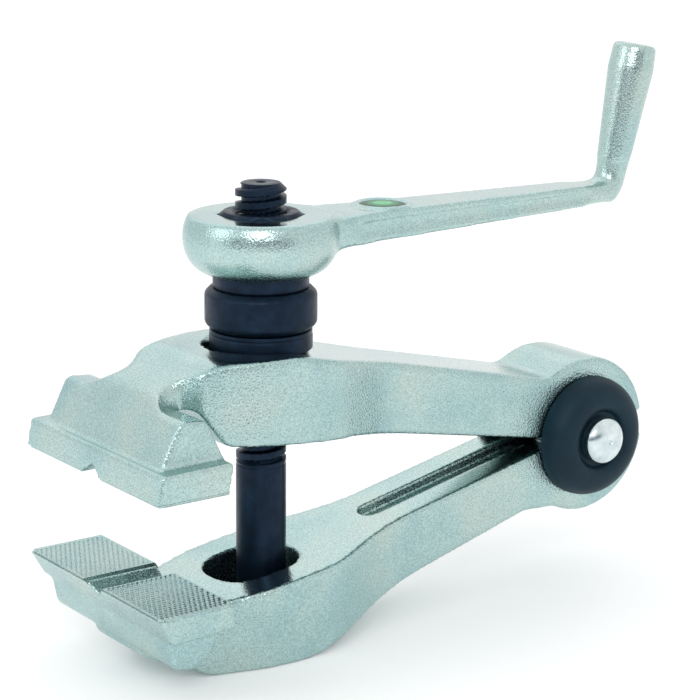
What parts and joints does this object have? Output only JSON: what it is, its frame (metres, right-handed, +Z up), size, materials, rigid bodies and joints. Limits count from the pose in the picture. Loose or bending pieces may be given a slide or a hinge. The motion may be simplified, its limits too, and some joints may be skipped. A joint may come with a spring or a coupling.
{
  "type": "hinged screw clamp",
  "caption": "Hinged C-shaped screw clamp: two forged arms on a sprung rivet, a pivoting threaded spindle with a thrust bearing, and a crank that screws the jaws shut.",
  "frame": {"origin": "where the spindle's axis crosses the plane of the lower jaw's pads, clamp standing as pictured", "axes": "+X from the spindle towards the hinge, +Z up along the spindle, jaws at -X; +Y towards the back of the tool; hinge axis along Y"},
  "size_m": [0.2176, 0.0788, 0.1855],
  "materials": {
    "zinc_steel": "forged and blasted steel, blue-white zinc plated",
    "black_steel": "black-oxide satin, lightly oiled",
    "black_cap": "black satin collar over the thrust bearing",
    "black_disc": "black moulded, satin",
    "rivet_steel": "headed and zinc plated, bright",
    "spring_wire": "dark drawn spring wire",
    "bearing_steel": "ground and polished",
    "cage_brass": "stamped sheet",
    "core_steel": "turned, greased",
    "badge_green": "plain green, glossy"
  },
  "bodies": {
    "lower_jaw": {"lower_arm": "zinc_steel", "hinge_core": "core_steel", "hinge_rivet": "rivet_steel", "near_side_disc": "black_disc", "far_side_disc": "black_disc", "opening_spring": "spring_wire"},
    "upper_jaw": {"upper_arm": "zinc_steel"},
    "screw": {"spindle": "black_steel", "spindle_cross_pin": "black_steel"},
    "thrust_set": {"seat_washer": "black_steel", "bearing_lower_race": "bearing_steel", "bearing_balls": "bearing_steel", "bearing_cage": "cage_brass"},
    "crank": {"bearing_upper_race": "bearing_steel", "bearing_cap": "black_cap", "hex_nut": "black_steel", "crank_handle": "zinc_steel", "badge": "badge_green"}
  },
  "joints": [
    {"name": "jaw_swing", "type": "hinge", "parent": "lower_jaw", "child": "upper_jaw", "pos_m": [0.125, 0, 0.0205], "axis": [0, 1, 0], "range_deg": [-10, 3.64], "deforming": ["opening_spring"]},
    {"name": "spindle_tilt", "type": "hinge", "parent": "lower_jaw", "child": "screw", "pos_m": [0, 0, -0.022], "axis": [0, 1, 0], "range_deg": [-6.15, 2.24]},
    {"name": "nut_travel", "type": "slide", "parent": "screw", "child": "thrust_set", "axis": [0, 0, 1], "range_m": [-0.02201, 0.00801]},
    {"name": "crank_spin", "type": "hinge", "parent": "thrust_set", "child": "crank", "pos_m": [0, 0, 0.0985], "axis": [0, 0, 1], "range_deg": [-1980, 720]}
  ],
  "couplings": [
    {"joint": "nut_travel", "follows": "crank_spin", "m_per_rad": 0.00063662},
    {"joint": "jaw_swing", "follows": "crank_spin", "ratio": 0.0050505},
    {"joint": "spindle_tilt", "follows": "crank_spin", "ratio": 0.0031061}
  ]
}
